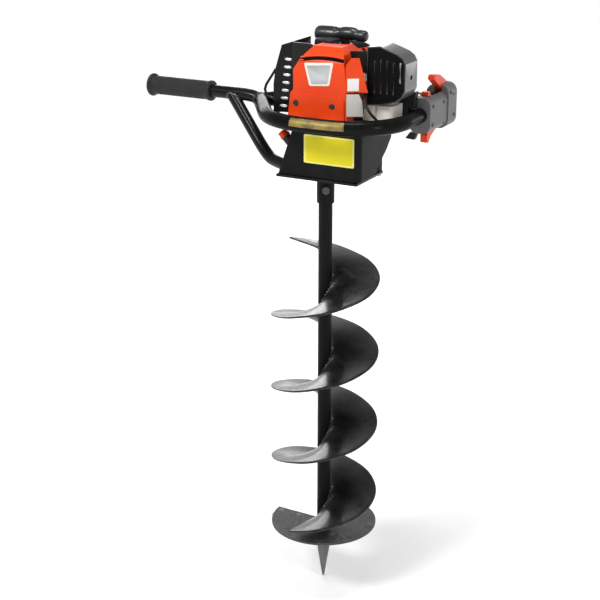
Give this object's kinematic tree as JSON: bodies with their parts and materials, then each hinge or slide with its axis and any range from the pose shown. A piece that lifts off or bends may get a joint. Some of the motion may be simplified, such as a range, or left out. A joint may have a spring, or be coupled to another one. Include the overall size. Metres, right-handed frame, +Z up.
{
  "type": "earth auger",
  "caption": "Hand-held petrol earth auger: two-stroke powerhead in a tubular hoop frame with side handles, gearbox and spiral drill bit.",
  "frame": {"origin": "on the output shaft's axis, level with the underside of the base plate", "axes": "+Z up along the bit's axis, -Y towards the front panel, +X towards the throttle handle"},
  "size_m": [0.5385, 0.305, 1.0135],
  "materials": {
    "black_paint": "gloss",
    "grip_rubber": "matt",
    "cast_alloy": "cast",
    "bare_steel": "satin",
    "orange_plastic": "gloss",
    "black_plastic": "satin",
    "dark_plastic": "satin",
    "tank_plastic": "translucent",
    "clutch_lining": "matt",
    "filter_foam": "foam"
  },
  "bodies": {
    "powerhead": {"base_plate": "black_paint", "skirt": "black_paint", "deck_plate": "black_paint", "hoop": "black_paint", "handle_tube": "black_paint", "handle_brace": "black_paint", "muffler_guard": "black_paint", "handle_grip": "grip_rubber", "oil_seal": "grip_rubber", "fuel_hose": "grip_rubber", "gearbox_lower": "cast_alloy", "gearbox_upper": "cast_alloy", "fan_housing": "cast_alloy", "crankcase": "cast_alloy", "cylinder": "cast_alloy", "carburettor": "cast_alloy", "gearbox_bolts": "bare_steel", "base_bolts": "bare_steel", "bearings": "bare_steel", "cover_screws": "bare_steel", "spark_plug": "bare_steel", "muffler": "bare_steel", "oil_plug": "orange_plastic", "cylinder_cover": "orange_plastic", "recoil_housing": "orange_plastic", "plug_cap": "black_plastic", "ignition_coil": "black_plastic", "ignition_lead": "black_plastic", "intake_block": "black_plastic", "air_cleaner_base": "black_plastic", "air_cleaner_cover": "black_plastic", "throttle_cable": "black_plastic", "throttle_shells": "dark_plastic", "fuel_tank": "tank_plastic", "air_filter": "filter_foam"},
    "bit": {"output_shaft": "bare_steel", "output_gear": "bare_steel", "bit_tube": "black_paint", "coupling_bolt": "bare_steel", "flight_1": "black_paint", "flight_2": "black_paint", "flight_3": "black_paint", "flight_4": "black_paint", "cutter_plate": "black_paint", "cutter_blade": "bare_steel", "blade_bolts": "bare_steel", "pilot_point": "bare_steel"},
    "layshaft": {"layshaft": "bare_steel", "layshaft_gear": "bare_steel"},
    "drum": {"clutch_drum": "bare_steel", "input_pinion": "bare_steel"},
    "crank": {"crankshaft": "bare_steel", "clutch_shoes": "clutch_lining", "flywheel_fan": "cast_alloy"},
    "starter_grip": {"starter_handle": "black_plastic"},
    "choke": {"choke_lever": "orange_plastic"},
    "tank_cap": {"fuel_cap": "black_plastic"},
    "trigger": {"throttle_trigger": "orange_plastic"},
    "lockout": {"lockout_lever": "orange_plastic"},
    "switch": {"stop_switch": "orange_plastic"}
  },
  "joints": [
    {"name": "bit_spin", "type": "hinge", "parent": "powerhead", "child": "bit", "pos_m": [0, 0, 0], "axis": [0, 0, 1], "continuous": true},
    {"name": "layshaft_spin", "type": "hinge", "parent": "powerhead", "child": "layshaft", "pos_m": [0.04377, 0.01044, 0.03], "axis": [0, 0, 1], "continuous": true},
    {"name": "drum_spin", "type": "hinge", "parent": "powerhead", "child": "drum", "pos_m": [0.015, 0.04, 0.06], "axis": [0, 0, 1], "continuous": true},
    {"name": "crank_spin", "type": "hinge", "parent": "powerhead", "child": "crank", "pos_m": [0.015, 0.04, 0.12], "axis": [0, 0, 1], "continuous": true},
    {"name": "starter_pull", "type": "slide", "parent": "powerhead", "child": "starter_grip", "axis": [0, 0, 1], "range_m": [0, 0.6], "stiffness_N_per_m": 20, "springref_m": -0.2},
    {"name": "choke_turn", "type": "hinge", "parent": "powerhead", "child": "choke", "pos_m": [0.081, -0.03, 0.156], "axis": [0, 1, 0], "range_deg": [0, 60]},
    {"name": "cap_turn", "type": "hinge", "parent": "powerhead", "child": "tank_cap", "pos_m": [0.006, 0.121, 0.15], "axis": [0, 0, 1], "range_deg": [0, 540]},
    {"name": "trigger_squeeze", "type": "hinge", "parent": "powerhead", "child": "trigger", "pos_m": [0.157, 0.09, 0.085], "axis": [-1, 0, 0], "range_deg": [0, 20], "stiffness_Nm_per_rad": 0.3, "springref_deg": -17.19},
    {"name": "lockout_press", "type": "hinge", "parent": "powerhead", "child": "lockout", "pos_m": [0.157, 0.124, 0.128], "axis": [1, 0, 0], "range_deg": [0, 15], "stiffness_Nm_per_rad": 0.3, "springref_deg": -17.19},
    {"name": "switch_slide", "type": "slide", "parent": "powerhead", "child": "switch", "axis": [0, 1, 0], "range_m": [0, 0.004]}
  ],
  "couplings": [
    {"joint": "layshaft_spin", "follows": "bit_spin", "ratio": -5},
    {"joint": "drum_spin", "follows": "bit_spin", "ratio": 28}
  ]
}
